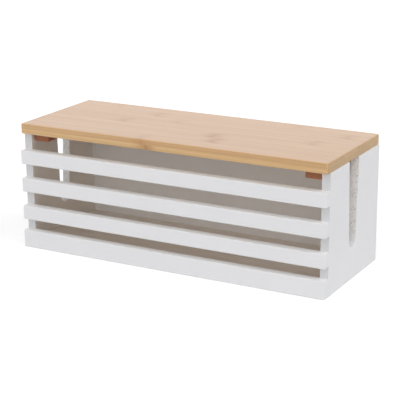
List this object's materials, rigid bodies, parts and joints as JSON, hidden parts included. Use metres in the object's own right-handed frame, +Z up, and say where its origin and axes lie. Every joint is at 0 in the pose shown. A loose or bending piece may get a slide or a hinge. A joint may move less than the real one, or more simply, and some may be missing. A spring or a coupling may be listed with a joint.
{
  "type": "cable management box",
  "caption": "Long white board box with a slatted front, a cable slot in each end and a lift-off bamboo lid; hides a power strip and its cables.",
  "frame": {"origin": "middle of the footprint, on the surface that the box stands on", "axes": "+X along the length, -Y out of the slatted front, +Z up"},
  "size_m": [0.4, 0.154, 0.155],
  "materials": {
    "white_board": "matt white painted board, raw grey-beige core where the cable slots are cut",
    "bamboo": "pale caramelised bamboo, satin lacquer",
    "bamboo_cleat": "bamboo, lightly oiled, a shade darker than the lid",
    "steel": "bright zinc plated steel"
  },
  "bodies": {
    "box": {"side_panel_left": "white_board", "side_panel_right": "white_board", "back_panel": "white_board", "bottom_panel": "white_board", "base_board": "white_board", "slat_upper": "white_board", "slat_middle": "white_board", "slat_lower": "white_board", "brads": "steel"},
    "lid": {"lid_top_stave_1": "bamboo", "lid_top_stave_2": "bamboo", "lid_top_stave_3": "bamboo", "lid_top_stave_4": "bamboo", "lid_top_stave_5": "bamboo", "lid_top_stave_6": "bamboo", "lid_top_stave_7": "bamboo", "lid_under_stave_1": "bamboo", "lid_under_stave_2": "bamboo", "lid_under_stave_3": "bamboo", "lid_under_stave_4": "bamboo", "lid_under_stave_5": "bamboo", "lid_under_stave_6": "bamboo", "lid_under_stave_7": "bamboo", "lid_under_stave_8": "bamboo", "lid_cleat_left": "bamboo_cleat", "lid_cleat_right": "bamboo_cleat", "cleat_screws": "steel"}
  },
  "joints": [
    {"name": "lid_lift", "type": "slide", "parent": "box", "child": "lid", "axis": [0, 0, 1], "range_m": [0, 0.2]}
  ]
}
